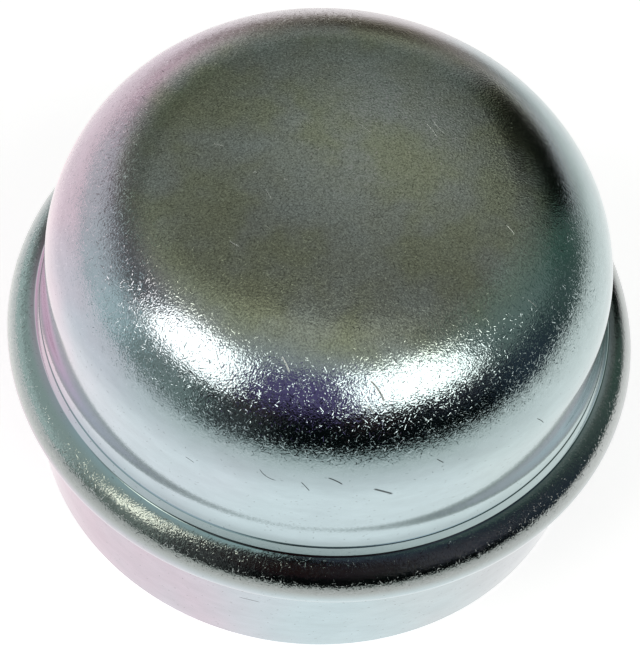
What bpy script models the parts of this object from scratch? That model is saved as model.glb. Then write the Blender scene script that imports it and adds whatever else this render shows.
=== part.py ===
# Hub dust cap: one piece of sheet steel, deep drawn into a cup and beaded.
# The cap stands on the rim of its open skirt, its axis is +Z, and z = 0 is the plane of that rim.
# The outer side of the sheet is drawn from the crown down to the rim.
# The inner side is the same line set in by the sheet's thickness.
# The closed section is then spun round the axis.

import math

import bmesh
import bpy

MM = 0.001

# Sheet
SHEET = 1.0 * MM

# Skirt, the part that is pressed into the hub
SKIRT_RADIUS = 25.15 * MM
SKIRT_LENGTH = 12.1 * MM
LEAD_IN_RADIUS = 0.3 * MM
RIM_INNER_RADIUS = 0.12 * MM

# Bead, folded outwards all round: its flat underside stops against the hub
BEAD_REACH = 2.8 * MM
BEAD_UPPER_RADIUS = 2.95 * MM
BEAD_LOWER_RADIUS = 1.8 * MM
SEAT_FILLET = 0.4 * MM

# Crease, the fine line where the wall's flare ends above the bead
CREASE_RISE = 0.8 * MM
CREASE_SET_IN = 0.1 * MM
CREASE_WIDTH = 0.2 * MM
CREASE_DEPTH = 0.12 * MM
NECK_FILLET = 0.25 * MM

# Wall above the crease, with a little draft, flaring at its foot
FLARE_REACH = 0.4 * MM
FLARE_HEIGHT = 2.6 * MM
WALL_HEIGHT = 6.25 * MM
WALL_DRAFT = math.radians(1.15)

# Shoulder and slightly domed crown
SHOULDER_RADIUS = 12.0 * MM
CROWN_RADIUS = 110.0 * MM

# Facets: an arc's chords stay within the tolerance of the true arc
ARC_TOLERANCE = 0.02 * MM
FLARE_STEPS = 4
TURN_STEPS = 64
MERGE_DISTANCE = 0.001 * MM
SHARP_ANGLE = math.radians(38)

# Bright zinc plate with a clear, faintly blue passivate
ZINC_COLOUR = (0.62, 0.68, 0.70, 1.0)
ZINC_ROUGHNESS = 0.28
ZINC_METALLIC = 1.0

QUARTER = math.radians(90)


def arc(centre, radius, tilt_from, tilt_to, side=1):
    """Points (r, z, tilt) on an arc of the sheet's outer side.

    The tilt is the angle of the outward normal above the horizontal.
    Side 1 bulges outwards. Side -1 is hollow, as in a fillet, with its centre outside the sheet.
    """
    chord_angle = 2 * math.acos(1 - ARC_TOLERANCE / radius)
    steps = math.ceil(abs(tilt_to - tilt_from) / chord_angle)
    points = []
    for i in range(steps + 1):
        tilt = tilt_from + (tilt_to - tilt_from) * i / steps
        r = centre[0] + side * radius * math.cos(tilt)
        z = centre[1] + side * radius * math.sin(tilt)
        points.append((r, z, tilt))
    return points


def shifted(point, along_normal, down_slope):
    """A point moved along its outward normal and down the slope of the outer side."""
    r, z, tilt = point
    r += along_normal * math.cos(tilt) + down_slope * math.sin(tilt)
    z += along_normal * math.sin(tilt) - down_slope * math.cos(tilt)
    return (r, z, tilt)


def bead_level():
    """Height of the bead's widest ring above the rim."""
    return SKIRT_LENGTH + BEAD_LOWER_RADIUS


def crease_level():
    """Height of the crease above the rim."""
    return bead_level() + BEAD_UPPER_RADIUS + CREASE_RISE


def wall_radius(z):
    """Outer radius of the drafted wall at height z, without the flare at its foot."""
    foot_radius = SKIRT_RADIUS - CREASE_SET_IN - FLARE_REACH
    return foot_radius - (z - crease_level()) * math.tan(WALL_DRAFT)


def crown_and_shoulder():
    """Shallow spherical crown, running into the shoulder's arc, down to the wall."""
    centre_z = crease_level() + WALL_HEIGHT
    wall_top = centre_z + SHOULDER_RADIUS * math.sin(WALL_DRAFT)
    centre_r = wall_radius(wall_top) - SHOULDER_RADIUS * math.cos(WALL_DRAFT)
    lean = math.asin(centre_r / (CROWN_RADIUS - SHOULDER_RADIUS))
    crown_centre_z = centre_z - (CROWN_RADIUS - SHOULDER_RADIUS) * math.cos(lean)
    crown = arc((0.0, crown_centre_z), CROWN_RADIUS, QUARTER, QUARTER - lean)
    shoulder = arc((centre_r, centre_z), SHOULDER_RADIUS, QUARTER - lean, WALL_DRAFT)
    return crown + shoulder[1:]


def flare():
    """Foot of the wall, opening out ever faster down to the crease."""
    points = []
    for i in range(FLARE_STEPS + 1):
        fall = i / FLARE_STEPS
        z = crease_level() + FLARE_HEIGHT * (1 - fall)
        r = wall_radius(z) + FLARE_REACH * fall ** 3
        slope = math.tan(WALL_DRAFT) + 3 * FLARE_REACH * fall ** 2 / FLARE_HEIGHT
        points.append((r, z, math.atan(slope)))
    return points


def crease_line():
    """Fine V-shaped line, half above and half below the point where the flare ends."""
    middle = flare()[-1]
    upper_lip = shifted(middle, 0.0, -CREASE_WIDTH / 2)
    bottom = shifted(middle, -CREASE_DEPTH, 0.0)
    lower_lip = shifted(middle, 0.0, CREASE_WIDTH / 2)
    return [upper_lip, bottom, lower_lip]


def neck_and_bead():
    """Fillet below the crease's short neck, then the bead's two arcs, down to its underside."""
    outer_radius = SKIRT_RADIUS + BEAD_REACH
    upper_centre = (outer_radius - BEAD_UPPER_RADIUS, bead_level())
    lower_centre = (outer_radius - BEAD_LOWER_RADIUS, bead_level())

    # The fillet touches the neck's straight line and the bead's upper arc.
    # Its centre slides down beside the line until it is both radii away from the arc's centre.
    crease = flare()[-1]
    tilt = crease[2]
    start = shifted(crease, NECK_FILLET, 0.0)
    start_r = start[0] - upper_centre[0]
    start_z = start[1] - upper_centre[1]
    along = start_r * math.sin(tilt) - start_z * math.cos(tilt)
    aside = start_r * math.cos(tilt) + start_z * math.sin(tilt)
    reach = NECK_FILLET + BEAD_UPPER_RADIUS
    slide = -along - math.sqrt(reach ** 2 - aside ** 2)
    fillet_centre = shifted(start, 0.0, slide)
    meeting = math.atan2(fillet_centre[1] - upper_centre[1], fillet_centre[0] - upper_centre[0])

    fillet = arc(fillet_centre, NECK_FILLET, tilt, meeting, side=-1)
    upper = arc(upper_centre, BEAD_UPPER_RADIUS, meeting, 0.0)
    lower = arc(lower_centre, BEAD_LOWER_RADIUS, 0.0, -QUARTER)
    return fillet + upper[1:] + lower[1:]


def seat_and_skirt():
    """Fillet at the inner end of the bead's flat underside, and the straight skirt."""
    fillet_centre = (SKIRT_RADIUS + SEAT_FILLET, SKIRT_LENGTH - SEAT_FILLET)
    fillet = arc(fillet_centre, SEAT_FILLET, -QUARTER, 0.0, side=-1)
    return fillet + [(SKIRT_RADIUS, LEAD_IN_RADIUS, 0.0)]


def rim():
    """Rounded lead-in, the flat ring that the cap stands on, and the softened inner edge."""
    lead_in_centre = (SKIRT_RADIUS - LEAD_IN_RADIUS, LEAD_IN_RADIUS)
    inner_centre = (SKIRT_RADIUS - SHEET + RIM_INNER_RADIUS, RIM_INNER_RADIUS)
    lead_in = arc(lead_in_centre, LEAD_IN_RADIUS, 0.0, -QUARTER)
    inner_edge = arc(inner_centre, RIM_INNER_RADIUS, -QUARTER, -2 * QUARTER)
    return lead_in[1:] + inner_edge


def section():
    """Outline of the sheet as (r, z) points, from the outer crown round to the inner crown."""
    above = crown_and_shoulder() + flare()[:-1]
    below = neck_and_bead() + seat_and_skirt()
    outer = above + crease_line() + below + rim()
    inner = [shifted(point, -SHEET, 0.0) for point in above + flare()[-1:] + below[:-1]]
    inner.reverse()
    return [(r, z) for r, z, tilt in outer + inner]


def spun(name, outline):
    """Mesh object made by spinning an outline that starts and ends on the axis."""
    bm = bmesh.new()
    verts = [bm.verts.new((r, 0.0, z)) for r, z in outline]
    edges = [bm.edges.new(pair) for pair in zip(verts, verts[1:])]
    bmesh.ops.spin(bm, geom=verts + edges, cent=(0, 0, 0), axis=(0, 0, 1), dvec=(0, 0, 0),
                   angle=4 * QUARTER, steps=TURN_STEPS, use_merge=True, use_duplicate=False)
    bmesh.ops.remove_doubles(bm, verts=bm.verts, dist=MERGE_DISTANCE)
    bmesh.ops.recalc_face_normals(bm, faces=bm.faces)
    mesh = bpy.data.meshes.new(name)
    bm.to_mesh(mesh)
    bm.free()
    mesh.shade_smooth()
    mesh.set_sharp_from_angle(angle=SHARP_ANGLE)
    spun_object = bpy.data.objects.new(name, mesh)
    bpy.context.scene.collection.objects.link(spun_object)
    return spun_object


def zinc_plate():
    """Material of the plated steel."""
    material = bpy.data.materials.new("zinc_plate")
    material.use_nodes = True
    shader = material.node_tree.nodes["Principled BSDF"]
    shader.inputs["Base Color"].default_value = ZINC_COLOUR
    shader.inputs["Roughness"].default_value = ZINC_ROUGHNESS
    shader.inputs["Metallic"].default_value = ZINC_METALLIC
    return material


def build():
    for old in list(bpy.data.objects):
        bpy.data.objects.remove(old, do_unlink=True)
    cap = spun("dust_cap", section())
    cap.data.materials.append(zinc_plate())


build()
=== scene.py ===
import math

import bmesh
import bpy
from mathutils import Matrix, Vector


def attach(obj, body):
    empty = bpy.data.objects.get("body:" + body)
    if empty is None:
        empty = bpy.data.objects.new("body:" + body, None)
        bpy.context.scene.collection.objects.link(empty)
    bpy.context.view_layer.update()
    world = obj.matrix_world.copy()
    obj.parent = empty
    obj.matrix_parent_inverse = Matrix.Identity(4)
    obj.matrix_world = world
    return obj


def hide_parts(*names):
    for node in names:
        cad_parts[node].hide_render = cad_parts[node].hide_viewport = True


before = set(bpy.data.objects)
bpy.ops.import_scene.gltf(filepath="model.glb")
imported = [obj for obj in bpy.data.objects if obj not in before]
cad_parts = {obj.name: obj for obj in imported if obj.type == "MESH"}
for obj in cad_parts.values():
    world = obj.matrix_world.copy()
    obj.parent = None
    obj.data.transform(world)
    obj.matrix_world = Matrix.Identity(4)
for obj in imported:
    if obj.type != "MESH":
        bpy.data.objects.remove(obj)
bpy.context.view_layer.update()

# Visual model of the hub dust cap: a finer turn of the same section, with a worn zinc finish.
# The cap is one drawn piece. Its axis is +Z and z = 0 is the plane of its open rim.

MM = 0.001
QUARTER = math.radians(90)

# Section of the sheet, with the same named sizes as the part
SHEET = 1.0 * MM
SKIRT_RADIUS = 25.15 * MM
SKIRT_LENGTH = 12.1 * MM
LEAD_IN_RADIUS = 0.3 * MM
RIM_INNER_RADIUS = 0.12 * MM
BEAD_REACH = 2.8 * MM
BEAD_UPPER_RADIUS = 2.95 * MM
BEAD_LOWER_RADIUS = 1.8 * MM
SEAT_FILLET = 0.4 * MM
CREASE_RISE = 0.8 * MM
CREASE_SET_IN = 0.1 * MM
CREASE_WIDTH = 0.2 * MM
CREASE_DEPTH = 0.12 * MM
NECK_FILLET = 0.25 * MM
FLARE_REACH = 0.4 * MM
FLARE_HEIGHT = 2.6 * MM
WALL_HEIGHT = 6.25 * MM
WALL_DRAFT = math.radians(1.15)
SHOULDER_RADIUS = 12.0 * MM
CROWN_RADIUS = 110.0 * MM

# Fineness of the turned surface
ARC_STEP = math.radians(4)
CROWN_STEPS = 12
SHOULDER_STEPS = 40
FLARE_STEPS = 16
NECK_STEPS = 10
SEAT_STEPS = 8
SKIRT_STEPS = 4
LEAD_IN_STEPS = 6
RIM_INNER_STEPS = 4
TURN_STEPS = 256
LIP = 0.03 * MM
MERGE_DISTANCE = 0.001 * MM
SHARP_ANGLE = math.radians(40)

# Camera, as in the photograph
CAMERA_PLACE = (0.0, -0.13114, 0.20644)
CAMERA_TARGET = (-0.00005, 0.0, 0.01336)
CAMERA_ROLL = math.radians(7.56)
CAMERA_LENS = 143.6
CAMERA_SENSOR = 36.0
CAMERA_NEAREST = 0.01

# Finish: the material works in mm, and its turns are in degrees from the front, + to the right
# A pair is a fade, from where a thing starts to show to where it shows in full
CROWN_HEIGHT = (33.9, 35.5)
SHOULDER_HEIGHT = (26.5, 30.5)
BEAD_RADIUS = (25.5, 26.3)
BEAD_HEIGHT = (13.6, 14.8)
SKIRT_HEIGHT = (15.5, 13.0)

# Passivate of the wall and skirt: each tint is laid over those before it, as
# (fade in turns, whether only on the skirt, colour)
FRONT_TINT = (0.52, 0.63, 0.66)
SIDE_TINTS = (
    ((5.0, 70.0), False, (0.50, 0.605, 0.605)),
    ((10.0, 60.0), True, (0.56, 0.585, 0.60)),
    ((-5.0, -65.0), False, (0.57, 0.60, 0.665)),
    ((-40.0, -80.0), False, (0.70, 0.56, 0.635)),
    ((15.0, -50.0), True, (0.61, 0.50, 0.565)),
)
BACK_TINT = (0.70, 0.64, 0.64)
BACK_TURN = (125.0, 165.0)
DRIFT_SCALE = 0.09
DRIFT_TURN = 60.0
CLOUD_SCALE = 0.35
CLOUD_SQUASH = (1.0, 1.0, 3.0)
CLOUD_LEVEL = 0.88
CLOUD_GAIN = 0.22

# Crown: olive in soft patches, with a painted reflection that makes it lighter round its middle,
# and a fine mottle
OLIVE_SCALE = 0.13
OLIVE_STOPS = (
    (0.30, (0.55, 0.60, 0.41)),
    (0.42, (0.56, 0.62, 0.45)),
    (0.52, (0.56, 0.62, 0.52)),
    (0.66, (0.60, 0.68, 0.61)),
)
# Painted reflection: the crown's colour is lighter round this middle point, out to the reach
PAINTED_SHEEN_MIDDLE = (4.0, 4.0, 36.5)
PAINTED_SHEEN_REACH = (16.0, 3.0)
PAINTED_SHEEN_LEVEL = 0.92
PAINTED_SHEEN_GAIN = 0.42
MOTTLE_SCALE = 6.5
MOTTLE_LEVEL = -0.05
MOTTLE_GAIN = 2.1

# Bead: greyer, and darker low at its front by painted shade
BEAD_TINT = (0.50, 0.525, 0.515)
BEAD_LEFT_TINT = (0.52, 0.56, 0.55)
BEAD_LEFT_TURN = (-30.0, -60.0)
# Painted shade: the bead's colour is darker low at its front, over these heights and turns
BEAD_PAINTED_SHADE = (0.40, 0.43, 0.42)
BEAD_SHADE_HEIGHT = (15.9, 15.3)
BEAD_SHADE_TURN = (80.0, 40.0)

# Ripple: its depth in metres, its share on the smooth wall and what grain adds to it
RIPPLE_SCALE = 6.0
RIPPLE_DEPTH = 0.022 * MM
RIPPLE_SMOOTH = 0.05
RIPPLE_GRAINY = 0.8

# Flecks, short marks that lean at random, as
# (cells in a mm, half width, half length, how much lighter they make the crown)
# The core and taper are the shares of the half width and half length that show in full
# The chance picks those that shade the crown, and flat leaves out what lies along the surface
FLECK_LAYERS = (
    (2.2, 0.036, 0.30, 0.22),
    (3.2, 0.033, 0.21, -0.45),
    (4.6, 0.030, 0.14, 0.0),
)
FLECK_CHANCE = (0.45, 0.55)
FLECK_FLAT = (0.95, 0.80)
FLECK_CORE = 0.3
FLECK_TAPER = 0.7

# Lean of the flecks' facets: on the smooth wall, what grain adds, and what the crown takes off
# Grain adds its whole share up to the lean turn at the right, and this part of it past that
LEAN_SMOOTH = 0.02
LEAN_GRAINY = 0.36
LEAN_CROWN = -0.45
LEAN_TURN = (105.0, 65.0)
LEAN_PAST = 0.1

# Pits, small dull spots all over
PIT_LAYER = (1.7, 0.055, 0.15)
PIT_SQUASH = (1.0, 1.0, 1.6)
PIT_CHANCE = (0.45, 0.75)
PIT_SHADE = 0.10
PIT_SHADE_SMOOTH = 0.22

# Nicks and hair scratches, as in the photograph
# Side marks are (turn in degrees, height, half length, half width, lean in degrees, bend)
SIDE_NICKS = (
    (6.8, 27.0, 0.75, 0.09, -29.0, 0.15),
    (16.2, 25.5, 1.00, 0.14, -30.0, 0.05),
    (1.2, 26.1, 0.65, 0.06, -51.0, 0.1),
    (-6.5, 26.5, 0.90, 0.05, -30.0, -0.3),
    (-21.8, 25.2, 0.45, 0.05, -14.0, 0.2),
    (27.4, 27.7, 0.45, 0.06, -44.0, 0.0),
    (51.5, 26.2, 0.80, 0.05, -57.0, 0.1),
    (-6.8, 7.0, 0.95, 0.05, 0.0, 0.05),
)
# Top marks are (x, y, half length, half width, angle in degrees, bend)
TOP_HAIRS = (
    (-2.3, -18.3, 0.70, 0.08, -54.0, 0.1),
    (5.2, -19.0, 0.95, 0.12, -39.0, 0.15),
    (4.8, -20.3, 0.40, 0.06, -30.0, 0.0),
    (16.8, -9.0, 0.50, 0.05, -18.0, 0.2),
    (-10.3, 1.1, 0.50, 0.05, -11.0, 0.1),
    (-7.8, -8.6, 0.50, 0.06, -29.0, -0.2),
    (-5.6, -3.5, 0.60, 0.04, -59.0, 0.0),
    (1.5, 4.6, 0.80, 0.05, -35.0, 0.1),
    (7.1, 5.5, 1.05, 0.06, -53.0, 0.1),
    (7.6, 5.9, 0.80, 0.05, -47.0, -0.1),
    (14.4, -3.2, 0.57, 0.05, -45.0, 0.1),
    (-7.0, -1.4, 0.14, 0.09, 0.0, 0.0),
    (-4.4, -1.8, 0.14, 0.09, 0.0, 0.0),
)
STROKE_EDGE = (1.0, 0.35)
STROKE_TAPER = (1.0, 0.5)
# The side is laid out flat at this radius
LAYOUT_RADIUS = 24.2
NICK_RADIUS = (20.5, 21.5)
NICK_SHADE = 0.75
HAIR_HEIGHT = (31.5, 32.0)
HAIR_COLOUR = (0.85, 0.88, 0.84)
HAIR_SHARE = 0.8
HAIR_LEAN = (0.35, 0.10, 0.0)
HAIR_LEAN_CROWN = (-0.10, -0.70, 0.0)

# The outer side of the sheet is where it faces away from the middle of the inside
INSIDE_MIDDLE = (0.0, 0.0, 18.0)
OUTSIDE = (0.0, 1.0)

# Roughness of the smooth wall, and what each zone and mark adds to it
ROUGH = 0.085
ROUGH_GRAINY = 0.02
ROUGH_CROWN = 0.07
ROUGH_PIT = 0.10
ROUGH_SCRATCH = 0.42

# Directions in the studio are in degrees: azimuth 0 is the camera's side and 90 is +X
# A window of directions is (middle azimuth, half width, its softness, lowest elevation,
# highest elevation, their softness)

# Room: its colour from the horizon up to straight above, as (share of the way up, colour)
ROOM_STOPS = (
    (0.00, (0.72, 0.65, 0.68)),
    (0.11, (0.55, 0.54, 0.55)),
    (0.22, (0.24, 0.24, 0.25)),
    (0.33, (0.13, 0.15, 0.14)),
    (0.44, (0.11, 0.11, 0.11)),
    (0.53, (0.27, 0.28, 0.28)),
    (0.62, (0.17, 0.17, 0.17)),
    (0.76, (0.15, 0.15, 0.15)),
    (0.84, (0.36, 0.36, 0.34)),
    (1.00, (0.40, 0.40, 0.37)),
)

# Patches of the room, each laid over those before it, as (window, strength, colour)
FLAG_COLOUR = (0.001, 0.002, 0.001)
RUST_COLOUR = (0.075, 0.045, 0.04)
LAMP_LIGHT = (2.7, 2.65, 2.5)
ROOM_PATCHES = (
    # Pale wall at the left, high ceiling, and dim wall at the right with a green part
    ((-92.0, 30.0, 50.0, -20.0, 22.0, 22.0), 0.85, (0.60, 0.67, 0.66)),
    ((-20.0, 95.0, 50.0, 54.0, 100.0, 14.0), 0.9, (0.36, 0.37, 0.36)),
    ((98.0, 32.0, 36.0, -20.0, 60.0, 20.0), 0.9, (0.17, 0.22, 0.20)),
    ((120.0, 9.0, 16.0, 2.0, 30.0, 12.0), 1.0, (0.05, 0.11, 0.085)),
    # Dark front, with purple, rust and teal in it
    ((5.0, 66.0, 50.0, -7.0, 56.0, 8.0), 1.0, (0.004, 0.004, 0.005)),
    ((-2.0, 24.0, 20.0, 31.0, 60.0, 18.0), 1.0, (0.115, 0.085, 0.195)),
    ((-20.0, 7.0, 12.0, 14.0, 25.0, 8.0), 1.0, RUST_COLOUR),
    ((23.0, 7.0, 12.0, 14.0, 25.0, 8.0), 1.0, RUST_COLOUR),
    ((0.0, 50.0, 30.0, -12.0, 1.0, 7.0), 1.0, (0.045, 0.10, 0.09)),
    # Dim wall behind, and two black cards between it and the right
    ((180.0, 14.0, 22.0, -25.0, 14.0, 12.0), 1.0, (0.05, 0.042, 0.036)),
    ((141.0, 12.0, 7.0, 4.0, 31.0, 9.0), 1.0, FLAG_COLOUR),
    ((156.0, 8.0, 12.0, 5.0, 44.0, 10.0), 1.0, FLAG_COLOUR),
    # Two soft lamps
    ((-53.0, 20.0, 11.0, 27.0, 55.0, 8.0), 1.0, LAMP_LIGHT),
    ((46.0, 24.0, 12.0, 33.0, 60.0, 8.0), 1.0, LAMP_LIGHT),
)
BACKDROP = (1.0, 1.0, 1.0)

# Hood: a dark dome that only low parts of the cap see
# It is clear to rays shorter than its distance less its reach, in metres
# The reach shrinks by the reach fall for each square degree of azimuth
HOOD_DISTANCE = 0.5
HOOD_REACH = 0.0322
HOOD_REACH_FALL = 3.6e-7
HOOD_SOFT = 0.0010
HOOD_MIDDLE = -10.0
HOOD_HALF = 126.0
HOOD_WINDOW = (HOOD_MIDDLE, HOOD_HALF, 30.0, -3.0, 120.0, 8.0)
HOOD_MARGIN = 1.4
HOOD_SPAN = HOOD_HALF * HOOD_MARGIN
HOOD_FOOT = -8.0
HOOD_COLUMNS = 120
HOOD_ROWS = 60
HOOD_DARK = (0.0015, 0.003, 0.003)

# Lighter parts of the hood, each laid over those before it, as (window, colour)
HOOD_LOBES = (
    ((0.0, 16.0, 20.0, 30.0, 75.0, 14.0), (0.014, 0.006, 0.006)),
    ((22.0, 12.0, 16.0, 36.0, 75.0, 14.0), (0.012, 0.008, 0.012)),
    ((-28.0, 12.0, 20.0, -10.0, 80.0, 14.0), (0.055, 0.062, 0.062)),
    ((-54.0, 16.0, 14.0, -10.0, 90.0, 14.0), (0.22, 0.27, 0.25)),
    ((-104.0, 36.0, 16.0, -10.0, 95.0, 14.0), (0.36, 0.46, 0.45)),
    ((-104.0, 32.0, 16.0, -14.0, 20.0, 14.0), (0.53, 0.66, 0.65)),
    ((-54.0, 7.0, 10.0, 33.0, 68.0, 14.0), (2.00, 2.05, 1.75)),
    ((58.0, 14.0, 24.0, 20.0, 90.0, 14.0), (0.045, 0.048, 0.065)),
    ((84.0, 14.0, 20.0, -10.0, 90.0, 14.0), (0.028, 0.040, 0.055)),
    ((108.0, 12.0, 20.0, -10.0, 90.0, 14.0), (0.055, 0.085, 0.080)),
)

# What a second reflection sees of the hood: dim in the middle, pale to both sides
SECOND_DEPTH = (1.2, 1.8)
SECOND_MIDDLE = 5.0
SECOND_ASIDE = (12.0, 40.0)
SECOND_MIDDLE_COLOUR = (0.13, 0.15, 0.15)
SECOND_ASIDE_COLOUR = (0.95, 0.92, 1.00)

# Floor: half its side in metres, and its paper as the camera and as other rays see it
# A glow lifts the paper to white for the camera, apart from the cap's shadow
FLOOR_HALF = 1.5
PAPER_SHOWN = (0.85, 0.85, 0.85)
PAPER_HIDDEN = (0.3, 0.3, 0.3)
GLOW_SHOWN = (0.74, 0.74, 0.74)
GLOW_STRENGTH = 0.92

# What reflections see of the floor, as (share of the way out to the far distance, colour)
FLOOR_FAR = 0.5
LEFT_STOPS = (
    (0.09, (1.08, 1.05, 1.04)),
    (0.14, (0.82, 0.82, 0.84)),
    (0.37, (0.70, 0.71, 0.72)),
    (1.00, (0.72, 0.67, 0.70)),
)
RIGHT_STOPS = (
    (0.09, (1.00, 1.00, 1.00)),
    (0.15, (0.90, 0.90, 0.90)),
    (0.37, (0.54, 0.55, 0.54)),
    (1.00, (0.22, 0.25, 0.24)),
)
FRONT_STOPS = (
    (0.09, (1.00, 1.00, 1.00)),
    (0.13, (0.78, 0.78, 0.78)),
    (0.18, (0.64, 0.66, 0.65)),
    (0.24, (0.56, 0.59, 0.57)),
    (0.33, (0.34, 0.38, 0.37)),
    (0.48, (0.16, 0.20, 0.19)),
    (0.85, (0.06, 0.11, 0.10)),
)
RIGHT_MIDDLE = 100.0
RIGHT_SPREAD = (62.0, 30.0)
FRONT_MIDDLE = 5.0
FRONT_SPREAD = (90.0, 32.0)
BEHIND_TURN = (140.0, 165.0)
BEHIND_SHARE = (0.15, 0.5)
BEHIND_COLOUR = (0.12, 0.10, 0.09)


# Section

def arc(centre, radius, tilt_from, tilt_to, side=1, steps=None):
    """Points (r, z, tilt) on an arc of the sheet's outer side.

    The tilt is the angle of the outward normal above the horizontal.
    Side 1 bulges outwards. Side -1 is hollow, as in a fillet, with its centre outside the sheet.
    """
    steps = steps or max(2, math.ceil(abs(tilt_to - tilt_from) / ARC_STEP))
    points = []
    for i in range(steps + 1):
        tilt = tilt_from + (tilt_to - tilt_from) * i / steps
        r = centre[0] + side * radius * math.cos(tilt)
        z = centre[1] + side * radius * math.sin(tilt)
        points.append((r, z, tilt))
    return points


def shifted(point, along_normal, down_slope):
    """A point moved along its outward normal and down the slope of the outer side."""
    r, z, tilt = point
    r += along_normal * math.cos(tilt) + down_slope * math.sin(tilt)
    z += along_normal * math.sin(tilt) - down_slope * math.cos(tilt)
    return (r, z, tilt)


def bead_level():
    """Height of the bead's widest ring above the rim."""
    return SKIRT_LENGTH + BEAD_LOWER_RADIUS


def crease_level():
    """Height of the crease above the rim."""
    return bead_level() + BEAD_UPPER_RADIUS + CREASE_RISE


def wall_radius(z):
    """Outer radius of the drafted wall at height z, without the flare at its foot."""
    foot_radius = SKIRT_RADIUS - CREASE_SET_IN - FLARE_REACH
    return foot_radius - (z - crease_level()) * math.tan(WALL_DRAFT)


def crown_and_shoulder():
    """Shallow spherical crown, running into the shoulder's arc, down to the wall."""
    centre_z = crease_level() + WALL_HEIGHT
    wall_top = centre_z + SHOULDER_RADIUS * math.sin(WALL_DRAFT)
    centre_r = wall_radius(wall_top) - SHOULDER_RADIUS * math.cos(WALL_DRAFT)
    lean = math.asin(centre_r / (CROWN_RADIUS - SHOULDER_RADIUS))
    crown_centre_z = centre_z - (CROWN_RADIUS - SHOULDER_RADIUS) * math.cos(lean)
    crown = arc((0.0, crown_centre_z), CROWN_RADIUS, QUARTER, QUARTER - lean,
                steps=CROWN_STEPS)
    shoulder = arc((centre_r, centre_z), SHOULDER_RADIUS, QUARTER - lean, WALL_DRAFT,
                   steps=SHOULDER_STEPS)
    return crown + shoulder[1:]


def flare():
    """Foot of the wall, opening out ever faster down to the crease."""
    points = []
    for i in range(FLARE_STEPS + 1):
        fall = i / FLARE_STEPS
        z = crease_level() + FLARE_HEIGHT * (1 - fall)
        r = wall_radius(z) + FLARE_REACH * fall ** 3
        slope = math.tan(WALL_DRAFT) + 3 * FLARE_REACH * fall ** 2 / FLARE_HEIGHT
        points.append((r, z, math.atan(slope)))
    return points


def crease_line():
    """Fine V-shaped line; close rings beside its lips keep the wall's own shading up to them."""
    middle = flare()[-1]
    half = CREASE_WIDTH / 2
    bottom = shifted(middle, -CREASE_DEPTH, 0.0)
    return [shifted(middle, 0.0, -half - LIP), shifted(middle, 0.0, -half), bottom,
            shifted(middle, 0.0, half), shifted(middle, 0.0, half + LIP)]


def neck_and_bead():
    """Fillet below the crease's short neck, then the bead's two arcs, down to its underside."""
    outer_radius = SKIRT_RADIUS + BEAD_REACH
    upper_centre = (outer_radius - BEAD_UPPER_RADIUS, bead_level())
    lower_centre = (outer_radius - BEAD_LOWER_RADIUS, bead_level())

    # The fillet touches the neck's straight line and the bead's upper arc.
    # Its centre slides down beside the line until it is both radii away from the arc's centre.
    crease = flare()[-1]
    tilt = crease[2]
    start = shifted(crease, NECK_FILLET, 0.0)
    start_r = start[0] - upper_centre[0]
    start_z = start[1] - upper_centre[1]
    along = start_r * math.sin(tilt) - start_z * math.cos(tilt)
    aside = start_r * math.cos(tilt) + start_z * math.sin(tilt)
    reach = NECK_FILLET + BEAD_UPPER_RADIUS
    slide = -along - math.sqrt(reach ** 2 - aside ** 2)
    fillet_centre = shifted(start, 0.0, slide)
    meeting = math.atan2(fillet_centre[1] - upper_centre[1], fillet_centre[0] - upper_centre[0])

    fillet = arc(fillet_centre, NECK_FILLET, tilt, meeting, side=-1, steps=NECK_STEPS)
    upper = arc(upper_centre, BEAD_UPPER_RADIUS, meeting, 0.0)
    lower = arc(lower_centre, BEAD_LOWER_RADIUS, 0.0, -QUARTER)
    return fillet + upper[1:] + lower[1:]


def seat_and_skirt():
    """Fillet at the inner end of the bead's flat underside, and the straight skirt."""
    fillet_centre = (SKIRT_RADIUS + SEAT_FILLET, SKIRT_LENGTH - SEAT_FILLET)
    points = arc(fillet_centre, SEAT_FILLET, -QUARTER, 0.0, side=-1, steps=SEAT_STEPS)
    top = points[-1][1]
    for i in range(1, SKIRT_STEPS + 1):
        points.append((SKIRT_RADIUS, top + (LEAD_IN_RADIUS - top) * i / SKIRT_STEPS, 0.0))
    return points


def rim():
    """Rounded lead-in, the flat ring that the cap stands on, and the softened inner edge."""
    lead_in_centre = (SKIRT_RADIUS - LEAD_IN_RADIUS, LEAD_IN_RADIUS)
    inner_centre = (SKIRT_RADIUS - SHEET + RIM_INNER_RADIUS, RIM_INNER_RADIUS)
    lead_in = arc(lead_in_centre, LEAD_IN_RADIUS, 0.0, -QUARTER, steps=LEAD_IN_STEPS)
    inner_edge = arc(inner_centre, RIM_INNER_RADIUS, -QUARTER, -2 * QUARTER,
                     steps=RIM_INNER_STEPS)
    return lead_in[1:] + inner_edge


def section():
    """Outline of the sheet as (r, z) points, from the outer crown round to the inner crown."""
    above = crown_and_shoulder() + flare()[:-1]
    below = neck_and_bead() + seat_and_skirt()
    outer = above + crease_line() + below + rim()
    inner = [shifted(point, -SHEET, 0.0) for point in above + flare()[-1:] + below[:-1]]
    inner.reverse()
    return [(r, z) for r, z, tilt in outer + inner]


# Objects

def placed(name, data):
    """Object of a mesh or camera, put in the scene."""
    holder = bpy.data.objects.new(name, data)
    bpy.context.scene.collection.objects.link(holder)
    return holder


def mesh_of(name, bm):
    """Mesh made from a bmesh, which is then freed."""
    mesh = bpy.data.meshes.new(name)
    bm.to_mesh(mesh)
    bm.free()
    return mesh


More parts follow.
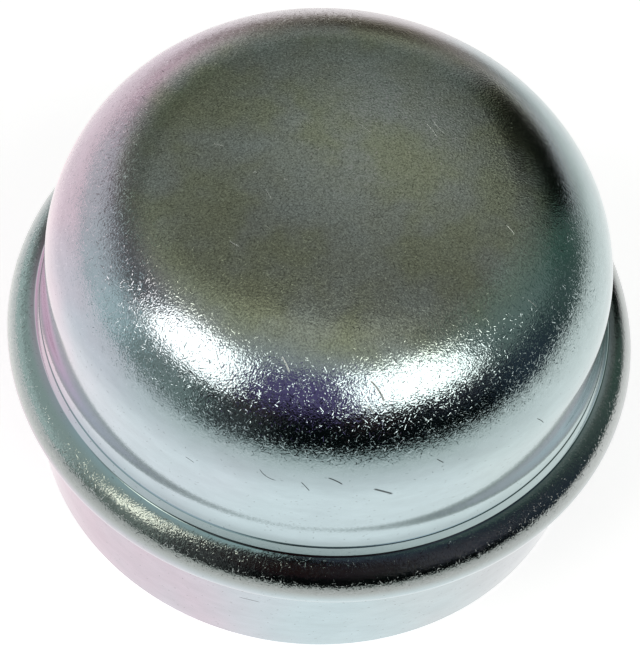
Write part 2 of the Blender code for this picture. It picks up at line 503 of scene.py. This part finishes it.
def spun(name, outline):
    """Piece made by spinning an outline that starts and ends on the axis."""
    bm = bmesh.new()
    verts = [bm.verts.new((r, 0.0, z)) for r, z in outline]
    edges = [bm.edges.new(pair) for pair in zip(verts, verts[1:])]
    bmesh.ops.spin(bm, geom=verts + edges, cent=(0, 0, 0), axis=(0, 0, 1), dvec=(0, 0, 0),
                   angle=4 * QUARTER, steps=TURN_STEPS, use_merge=True, use_duplicate=False)
    bmesh.ops.remove_doubles(bm, verts=bm.verts, dist=MERGE_DISTANCE)
    bmesh.ops.recalc_face_normals(bm, faces=bm.faces)
    mesh = mesh_of(name, bm)
    mesh.shade_smooth()
    mesh.set_sharp_from_angle(angle=SHARP_ANGLE)
    return placed(name, mesh)


# Node helpers

def opaque(colour):
    """A colour of three numbers with its fourth added; anything else as it is."""
    if isinstance(colour, tuple) and len(colour) == 3:
        return colour + (1.0,)
    return colour


class Graph:
    """Adds nodes to a tree; any value may be a number, a tuple or another node's output."""

    def __init__(self, tree):
        self.tree = tree

    def node(self, kind, **settings):
        made = self.tree.nodes.new(kind)
        for key, value in settings.items():
            setattr(made, key, value)
        return made

    def put(self, socket, value):
        if isinstance(value, bpy.types.NodeSocket):
            self.tree.links.new(value, socket)
        else:
            socket.default_value = value

    def fill(self, made, values):
        """Sets a node's first inputs, in order, and gives its outputs."""
        for socket, value in zip(made.inputs, values):
            self.put(socket, value)
        return made.outputs

    def math(self, operation, *values, clamp=False):
        made = self.node("ShaderNodeMath", operation=operation, use_clamp=clamp)
        return self.fill(made, values)[0]

    def plus(self, base, value, gain):
        """The base with the value, times its gain, added to it."""
        return self.math("ADD", base, self.math("MULTIPLY", value, gain))

    def vector(self, operation, *values):
        made = self.node("ShaderNodeVectorMath", operation=operation)
        gives_number = operation in ("DOT_PRODUCT", "LENGTH")
        return self.fill(made, values)[1 if gives_number else 0]

    def scaled(self, value, factor):
        made = self.node("ShaderNodeVectorMath", operation="SCALE")
        self.put(made.inputs[0], value)
        self.put(made.inputs["Scale"], factor)
        return made.outputs[0]

    def smooth(self, value, low, high):
        """0 below low and 1 above high, or the reverse where low is the larger."""
        made = self.node("ShaderNodeMapRange", interpolation_type="SMOOTHSTEP")
        self.put(made.inputs["Value"], value)
        self.put(made.inputs["From Min"], min(low, high))
        self.put(made.inputs["From Max"], max(low, high))
        self.put(made.inputs["To Min"], 0.0 if low < high else 1.0)
        self.put(made.inputs["To Max"], 1.0 if low < high else 0.0)
        return made.outputs[0]

    def mix(self, factor, first, second):
        made = self.node("ShaderNodeMix", data_type="RGBA")
        self.put(made.inputs[0], factor)
        self.put(made.inputs[6], opaque(first))
        self.put(made.inputs[7], opaque(second))
        return made.outputs[2]

    def ramp(self, factor, stops):
        """Colours at the given places, as (place, colour)."""
        made = self.node("ShaderNodeValToRGB")
        places = made.color_ramp.elements
        while len(places) < len(stops):
            places.new(0.5)
        for place, (at, colour) in zip(places, stops):
            place.position = at
            place.color = opaque(colour)
        self.put(made.inputs[0], factor)
        return made.outputs[0]

    def noise(self, place, scale, detail=2.0, roughness=0.5):
        made = self.node("ShaderNodeTexNoise")
        self.put(made.inputs["Vector"], place)
        self.put(made.inputs["Scale"], scale)
        self.put(made.inputs["Detail"], detail)
        self.put(made.inputs["Roughness"], roughness)
        return made.outputs[0]

    def split(self, value):
        """The three numbers of a vector."""
        return self.fill(self.node("ShaderNodeSeparateXYZ"), (value,))

    def joined(self, *numbers):
        """A vector of three numbers."""
        return self.fill(self.node("ShaderNodeCombineXYZ"), numbers)[0]

    def light(self, kind, colour, strength=1.0):
        """Shader of the given kind that gives light of a colour."""
        made = self.node(kind)
        self.put(made.inputs["Color"], opaque(colour))
        self.put(made.inputs["Strength"], strength)
        return made.outputs[0]

    def chosen(self, factor, first, second):
        """Shader that goes from the first to the second as the factor goes from 0 to 1."""
        return self.fill(self.node("ShaderNodeMixShader"), (factor, first, second))[0]

    def surface(self, kind, shader):
        """Output of the given kind that shows a shader."""
        self.put(self.node(kind).inputs["Surface"], shader)


def bare_graph(owner):
    """Graph of a world or material that has no nodes yet."""
    owner.use_nodes = True
    owner.node_tree.nodes.clear()
    return Graph(owner.node_tree)


def turn_of(g, x, y):
    """Turn of a place round the axis, in degrees: 0 is the camera's side and 90 is +X."""
    return g.math("DEGREES", g.math("ARCTAN2", x, g.math("MULTIPLY", y, -1.0)))


def directions(g, vector):
    """Azimuth and elevation of a direction, in degrees."""
    x, y, z = g.split(vector)
    return turn_of(g, x, y), g.math("DEGREES", g.math("ARCSINE", z))


def apart(g, turn, middle):
    """How many degrees a turn is away from a middle one."""
    return g.math("ABSOLUTE", g.math("SUBTRACT", turn, middle))


def window(g, az, el, az_middle, az_half, az_soft, el_low, el_high, el_soft):
    """1 inside a window of directions, in degrees, fading to 0 over its soft borders."""
    turned = g.math("WRAP", g.math("SUBTRACT", az, az_middle), 180.0, -180.0)
    across = g.smooth(g.math("ABSOLUTE", turned), az_half + az_soft / 2, az_half - az_soft / 2)
    above = g.smooth(el, el_low - el_soft / 2, el_low + el_soft / 2)
    below = g.smooth(el, el_high + el_soft / 2, el_high - el_soft / 2)
    return g.math("MULTIPLY", across, g.math("MULTIPLY", above, below))


# Zinc plate

class Surface:
    """Places on the cap, in mm and in degrees of turn, and the zones of its finish."""

    def __init__(self, g):
        coordinates = g.node("ShaderNodeTexCoord").outputs
        self.normal = coordinates["Normal"]
        self.place = g.scaled(coordinates["Object"], 1.0 / MM)
        self.x, self.y, self.z = g.split(self.place)
        square = g.math("ADD", g.math("MULTIPLY", self.x, self.x),
                        g.math("MULTIPLY", self.y, self.y))
        self.radius = g.math("SQRT", square)
        self.turn = turn_of(g, self.x, self.y)

        # Zones, from 0 to 1: matte crown, bead, and all that is grainy
        self.crown = g.smooth(self.z, *CROWN_HEIGHT)
        self.bead = g.math("MULTIPLY", g.smooth(self.radius, *BEAD_RADIUS),
                           g.smooth(self.z, *BEAD_HEIGHT))
        self.grainy = g.math("MAXIMUM", g.smooth(self.z, *SHOULDER_HEIGHT), self.bead)

        # 1 on the outer side of the sheet, 0 on the inner side
        from_inside = g.vector("SUBTRACT", self.place, INSIDE_MIDDLE)
        self.outer = g.smooth(g.vector("DOT_PRODUCT", from_inside, self.normal), *OUTSIDE)


def passivate(g, on):
    """Clear passivate over bright metal: pink at the left, through blue, to green at the right."""
    drift = g.math("SUBTRACT", g.noise(on.place, DRIFT_SCALE), 0.5)
    side = g.plus(on.turn, drift, DRIFT_TURN)
    skirt = g.smooth(on.z, *SKIRT_HEIGHT)
    tint = FRONT_TINT
    for turns, skirt_only, colour in SIDE_TINTS:
        share = g.smooth(side, *turns)
        if skirt_only:
            share = g.math("MULTIPLY", skirt, share)
        tint = g.mix(share, tint, colour)
    tint = g.mix(g.smooth(g.math("ABSOLUTE", side), *BACK_TURN), tint, BACK_TINT)
    squashed = g.vector("MULTIPLY", on.place, CLOUD_SQUASH)
    cloud = g.noise(squashed, CLOUD_SCALE, detail=3.0, roughness=0.6)
    return g.scaled(tint, g.plus(CLOUD_LEVEL, cloud, CLOUD_GAIN))


def olive_crown_and_sheen(g, on):
    """Matte olive-grey of the crown, with a painted reflection that makes it lighter round its
    middle.
    """
    olive = g.ramp(g.noise(on.place, OLIVE_SCALE, detail=2.5, roughness=0.6), OLIVE_STOPS)
    # Painted reflection: lighter colour round the crown's middle
    away = g.vector("LENGTH", g.vector("SUBTRACT", on.place, PAINTED_SHEEN_MIDDLE))
    olive = g.scaled(olive, g.plus(PAINTED_SHEEN_LEVEL, g.smooth(away, *PAINTED_SHEEN_REACH), PAINTED_SHEEN_GAIN))
    mottle = g.noise(on.place, MOTTLE_SCALE, detail=2.0, roughness=0.7)
    return g.scaled(olive, g.plus(MOTTLE_LEVEL, mottle, MOTTLE_GAIN))


def bead_grey_and_shade(g, on):
    """Grey of the bead, with painted shade that makes it darker low at its front."""
    # Painted shade, low on the bead at its front
    low = g.math("MULTIPLY", g.smooth(on.z, *BEAD_SHADE_HEIGHT),
                 g.smooth(g.math("ABSOLUTE", on.turn), *BEAD_SHADE_TURN))
    grey = g.mix(g.smooth(on.turn, *BEAD_LEFT_TURN), BEAD_TINT, BEAD_LEFT_TINT)
    return g.mix(low, grey, BEAD_PAINTED_SHADE)


def centred(g, random_colour):
    """Random vector whose numbers lie from -0.5 to 0.5."""
    return g.vector("SUBTRACT", random_colour, (0.5, 0.5, 0.5))


def flecks(g, place, normal, scale, half_width, half_length):
    """Short fine marks, each the cut of the surface through a thin coin at a random place.

    Gives where they are, and a random number and a random colour for each one.
    """
    cells = g.node("ShaderNodeTexVoronoi")
    g.put(cells.inputs["Vector"], place)
    g.put(cells.inputs["Scale"], scale)
    local = g.vector("SUBTRACT", place, cells.outputs["Position"])
    facing = g.vector("NORMALIZE", centred(g, cells.outputs["Color"]))
    across = g.math("ABSOLUTE", g.vector("DOT_PRODUCT", local, facing))
    away = g.vector("LENGTH", local)
    inside = g.math("MULTIPLY", g.smooth(across, half_width, half_width * FLECK_CORE),
                    g.smooth(away, half_length, half_length * FLECK_TAPER))
    # A coin that lies along the surface would cut it in a round spot, so it is left out.
    flat = g.math("ABSOLUTE", g.vector("DOT_PRODUCT", facing, normal))
    inside = g.math("MULTIPLY", inside, g.smooth(flat, *FLECK_FLAT))
    chance = g.node("ShaderNodeTexWhiteNoise")
    g.put(chance.inputs["Vector"], cells.outputs["Position"])
    return inside, chance.outputs["Value"], chance.outputs["Color"]


def fleck_layers(g, on):
    """All layers of flecks: how their facets lean, and how they shade the crown."""
    leans = None
    shades = None
    for scale, half_width, half_length, shade in FLECK_LAYERS:
        inside, chance, colour = flecks(g, on.place, on.normal, scale, half_width, half_length)
        lean = g.scaled(centred(g, colour), inside)
        leans = lean if leans is None else g.vector("ADD", leans, lean)
        if shade:
            picked = g.math("MULTIPLY", inside, g.smooth(chance, *FLECK_CHANCE))
            picked = g.math("MULTIPLY", picked, shade)
            shades = picked if shades is None else g.math("ADD", shades, picked)
    return leans, shades


def pits(g, on):
    """Small dull spots all over."""
    squashed = g.vector("MULTIPLY", on.place, PIT_SQUASH)
    inside, chance = flecks(g, squashed, on.normal, *PIT_LAYER)[:2]
    return g.math("MULTIPLY", inside, g.smooth(chance, *PIT_CHANCE))


def strokes(g, flat, marks, across_unit):
    """Tapered strokes on a flat layout in mm; a mark's first number counts in across_unit mm."""
    total = None
    for u, v, half_length, half_width, angle, bend in marks:
        local = g.node("ShaderNodeMapping", vector_type="TEXTURE")
        g.put(local.inputs["Vector"], flat)
        g.put(local.inputs["Location"], (u * across_unit, v, 0.0))
        g.put(local.inputs["Rotation"], (0.0, 0.0, math.radians(angle)))
        g.put(local.inputs["Scale"], (half_length, half_width, 1.0))
        along, aside = g.split(local.outputs[0])[:2]
        square = g.math("MULTIPLY", along, along)
        curve = g.math("MULTIPLY_ADD", square, bend * half_length ** 2 / half_width, aside)
        stroke = g.math("MULTIPLY", g.smooth(g.math("ABSOLUTE", curve), *STROKE_EDGE),
                        g.smooth(square, *STROKE_TAPER))
        total = stroke if total is None else g.math("MAXIMUM", total, stroke)
    return total


def nicks(g, on):
    """Dark nicks low on the shoulder and on the skirt."""
    across = g.math("MULTIPLY", g.math("RADIANS", on.turn), LAYOUT_RADIUS)
    layout = g.joined(across, on.z, 0.0)
    return g.math("MULTIPLY", strokes(g, layout, SIDE_NICKS, math.radians(LAYOUT_RADIUS)),
                  g.math("MULTIPLY", on.outer, g.smooth(on.radius, *NICK_RADIUS)))


def hairs(g, on):
    """Bright hair scratches on the crown and shoulder."""
    layout = g.joined(on.x, on.y, 0.0)
    return g.math("MULTIPLY", strokes(g, layout, TOP_HAIRS, 1.0),
                  g.math("MULTIPLY", on.outer, g.smooth(on.z, *HAIR_HEIGHT)))


def rippled(g, on):
    """Surface normal with a fine ripple, stronger where it is grainy."""
    bump = g.node("ShaderNodeBump")
    bump.inputs["Strength"].default_value = 1.0
    bump.inputs["Distance"].default_value = RIPPLE_DEPTH
    fine = g.noise(on.place, RIPPLE_SCALE, detail=1.0, roughness=0.6)
    height = g.math("MULTIPLY", fine, g.plus(RIPPLE_SMOOTH, on.grainy, RIPPLE_GRAINY))
    g.put(bump.inputs["Height"], height)
    return bump.outputs[0]


def relief(g, on, leans, hair):
    """Surface normal with the ripple and with the facets of flecks and hair scratches."""
    share = g.plus(LEAN_PAST, g.smooth(on.turn, *LEAN_TURN), 1.0 - LEAN_PAST)
    amount = g.plus(LEAN_SMOOTH, g.math("MULTIPLY", on.grainy, share), LEAN_GRAINY)
    amount = g.math("MULTIPLY", amount, g.plus(1.0, on.crown, LEAN_CROWN))
    facets = g.vector("ADD", rippled(g, on), g.scaled(leans, amount))
    hair_lean = g.vector("ADD", HAIR_LEAN, g.scaled(HAIR_LEAN_CROWN, on.crown))
    facets = g.vector("ADD", facets, g.scaled(hair_lean, hair))
    return g.vector("NORMALIZE", facets)


def zinc():
    """Worn zinc plate: matte crown, grainy shoulder and bead, smooth wall and skirt."""
    material = bpy.data.materials.new("zinc_plate_worn")
    material.use_nodes = True
    g = Graph(material.node_tree)
    shader = material.node_tree.nodes["Principled BSDF"]
    on = Surface(g)
    leans, crown_shades = fleck_layers(g, on)
    pit, nick, hair = pits(g, on), nicks(g, on), hairs(g, on)

    colour = g.mix(on.crown, passivate(g, on), olive_crown_and_sheen(g, on))
    colour = g.mix(on.bead, colour, bead_grey_and_shade(g, on))
    colour = g.mix(g.math("MULTIPLY", hair, HAIR_SHARE), colour, HAIR_COLOUR)
    pit_shade = g.plus(PIT_SHADE, g.math("SUBTRACT", 1.0, on.grainy), PIT_SHADE_SMOOTH)
    colour = g.scaled(colour, g.math("SUBTRACT", 1.0, g.math("MULTIPLY", pit, pit_shade)))
    colour = g.scaled(colour, g.plus(1.0, crown_shades, on.crown))
    colour = g.scaled(colour, g.plus(1.0, nick, -NICK_SHADE))

    rough = g.plus(ROUGH, on.grainy, ROUGH_GRAINY)
    rough = g.plus(rough, on.crown, ROUGH_CROWN)
    rough = g.plus(rough, g.math("MULTIPLY", pit, on.grainy), ROUGH_PIT)
    rough = g.plus(rough, g.math("MAXIMUM", nick, hair), ROUGH_SCRATCH)

    g.put(shader.inputs["Base Color"], colour)
    g.put(shader.inputs["Roughness"], rough)
    g.put(shader.inputs["Normal"], relief(g, on, leans, hair))
    shader.inputs["Metallic"].default_value = 1.0
    return material


# Studio

def studio():
    """Room with soft lamps, dark areas and black cards; the camera sees plain white instead."""
    world = bpy.data.worlds.new("studio")
    bpy.context.scene.world = world
    g = bare_graph(world)
    az, el = directions(g, g.node("ShaderNodeTexCoord").outputs["Generated"])
    room = g.ramp(g.math("DIVIDE", el, 90.0, clamp=True), ROOM_STOPS)
    for patch, strength, colour in ROOM_PATCHES:
        share = g.math("MULTIPLY", window(g, az, el, *patch), strength)
        room = g.mix(share, room, colour)
    path = g.node("ShaderNodeLightPath").outputs
    shown = g.chosen(path["Is Camera Ray"], g.light("ShaderNodeBackground", room),
                     g.light("ShaderNodeBackground", BACKDROP))
    g.surface("ShaderNodeOutputWorld", shown)


def dome_mesh():
    """Part of a sphere round the hood's middle azimuth, from its foot to straight above."""
    verts = []
    for row in range(HOOD_ROWS + 1):
        el = math.radians(HOOD_FOOT + (90.0 - HOOD_FOOT) * row / HOOD_ROWS)
        for column in range(HOOD_COLUMNS + 1):
            az = math.radians(HOOD_MIDDLE + HOOD_SPAN * (2 * column / HOOD_COLUMNS - 1))
            verts.append((HOOD_DISTANCE * math.cos(el) * math.sin(az),
                          -HOOD_DISTANCE * math.cos(el) * math.cos(az),
                          HOOD_DISTANCE * math.sin(el)))
    faces = []
    for row in range(HOOD_ROWS):
        for column in range(HOOD_COLUMNS):
            corner = row * (HOOD_COLUMNS + 1) + column
            above = corner + HOOD_COLUMNS + 1
            faces.append((corner, corner + 1, above + 1, above))
    mesh = bpy.data.meshes.new("hood")
    mesh.from_pydata(verts, [], faces)
    mesh.shade_smooth()
    return mesh


def hood_dark():
    """Dark material that is clear to short rays, and lighter to a second reflection."""
    material = bpy.data.materials.new("hood")
    g = bare_graph(material)
    material.cycles.emission_sampling = "NONE"
    place = g.vector("NORMALIZE", g.node("ShaderNodeTexCoord").outputs["Object"])
    az, el = directions(g, place)
    path = g.node("ShaderNodeLightPath").outputs
    reach = g.plus(HOOD_REACH, g.math("MULTIPLY", az, az), -HOOD_REACH_FALL)
    past = g.math("ADD", g.math("SUBTRACT", path["Ray Length"], HOOD_DISTANCE), reach)
    far = g.smooth(past, -HOOD_SOFT, HOOD_SOFT)
    dark = HOOD_DARK
    for lobe, colour in HOOD_LOBES:
        dark = g.mix(window(g, az, el, *lobe), dark, colour)
    aside = g.smooth(apart(g, az, SECOND_MIDDLE), *SECOND_ASIDE)
    second = g.mix(aside, SECOND_MIDDLE_COLOUR, SECOND_ASIDE_COLOUR)
    dark = g.mix(g.smooth(path["Glossy Depth"], *SECOND_DEPTH), dark, second)

    covered = g.math("MULTIPLY", window(g, az, el, *HOOD_WINDOW), far)
    clear = g.node("ShaderNodeBsdfTransparent").outputs[0]
    shown = g.chosen(covered, clear, g.light("ShaderNodeEmission", dark))
    g.surface("ShaderNodeOutputMaterial", shown)
    return material


def hood():
    """Dark dome over the front and sides, which hides the lamps from low parts of the cap."""
    dome = placed("hood", dome_mesh())
    dome.data.materials.append(hood_dark())
    dome.visible_camera = False
    dome.visible_diffuse = False
    dome.visible_shadow = False


def floor_in_reflections(g):
    """Colour of the floor as the cap reflects it: pale close by, darker further out."""
    place = g.node("ShaderNodeTexCoord").outputs["Object"]
    x, y = g.split(place)[:2]
    az = turn_of(g, x, y)
    away = g.math("DIVIDE", g.vector("LENGTH", place), FLOOR_FAR, clamp=True)
    rightward = g.smooth(apart(g, az, RIGHT_MIDDLE), *RIGHT_SPREAD)
    forward = g.smooth(apart(g, az, FRONT_MIDDLE), *FRONT_SPREAD)
    backward = g.math("MULTIPLY", g.smooth(g.math("ABSOLUTE", az), *BEHIND_TURN),
                      g.smooth(away, *BEHIND_SHARE))
    seen = g.mix(rightward, g.ramp(away, LEFT_STOPS), g.ramp(away, RIGHT_STOPS))
    seen = g.mix(forward, seen, g.ramp(away, FRONT_STOPS))
    return g.mix(backward, seen, BEHIND_COLOUR)


def floor_paper():
    """Pale paper that keeps the cap's shadow and is clear from its underside."""
    material = bpy.data.materials.new("floor")
    g = bare_graph(material)
    path = g.node("ShaderNodeLightPath").outputs
    to_camera = path["Is Camera Ray"]
    paper = g.node("ShaderNodeBsdfDiffuse")
    g.put(paper.inputs["Color"], g.mix(to_camera, PAPER_HIDDEN, PAPER_SHOWN))
    seen = g.mix(to_camera, floor_in_reflections(g), GLOW_SHOWN)
    strength = g.math("MULTIPLY", g.math("MAXIMUM", to_camera, path["Is Glossy Ray"]),
                      GLOW_STRENGTH)
    glow = g.light("ShaderNodeEmission", seen, strength)
    both = g.fill(g.node("ShaderNodeAddShader"), (paper.outputs[0], glow))[0]
    underside = g.node("ShaderNodeNewGeometry").outputs["Backfacing"]
    clear = g.node("ShaderNodeBsdfTransparent").outputs[0]
    g.surface("ShaderNodeOutputMaterial", g.chosen(underside, both, clear))
    return material


def floor():
    """Plain floor that the cap stands on."""
    bm = bmesh.new()
    bmesh.ops.create_grid(bm, x_segments=1, y_segments=1, size=FLOOR_HALF)
    plane = placed("floor", mesh_of("floor", bm))
    plane.data.materials.append(floor_paper())


def camera():
    """Camera at the photograph's viewing angle, rolled about its own line of sight."""
    data = bpy.data.cameras.new("camera")
    data.sensor_width = CAMERA_SENSOR
    data.lens = CAMERA_LENS
    data.clip_start = CAMERA_NEAREST
    eye = Vector(CAMERA_PLACE)
    forward = (Vector(CAMERA_TARGET) - eye).normalized()
    level = forward.cross(Vector((0, 0, 1))).normalized()
    upright = level.cross(forward)
    right = math.cos(CAMERA_ROLL) * level + math.sin(CAMERA_ROLL) * upright
    up = math.cos(CAMERA_ROLL) * upright - math.sin(CAMERA_ROLL) * level
    matrix = Matrix((right, up, -forward)).transposed().to_4x4()
    matrix.translation = eye
    holder = placed("camera", data)
    holder.matrix_world = matrix
    bpy.context.scene.camera = holder


camera()
cap = spun("cap", section())
cap.data.materials.append(zinc())
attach(cap, "root")
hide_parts("dust_cap")

studio()
floor()
hood()

bpy.context.scene.view_settings.view_transform = "Standard"
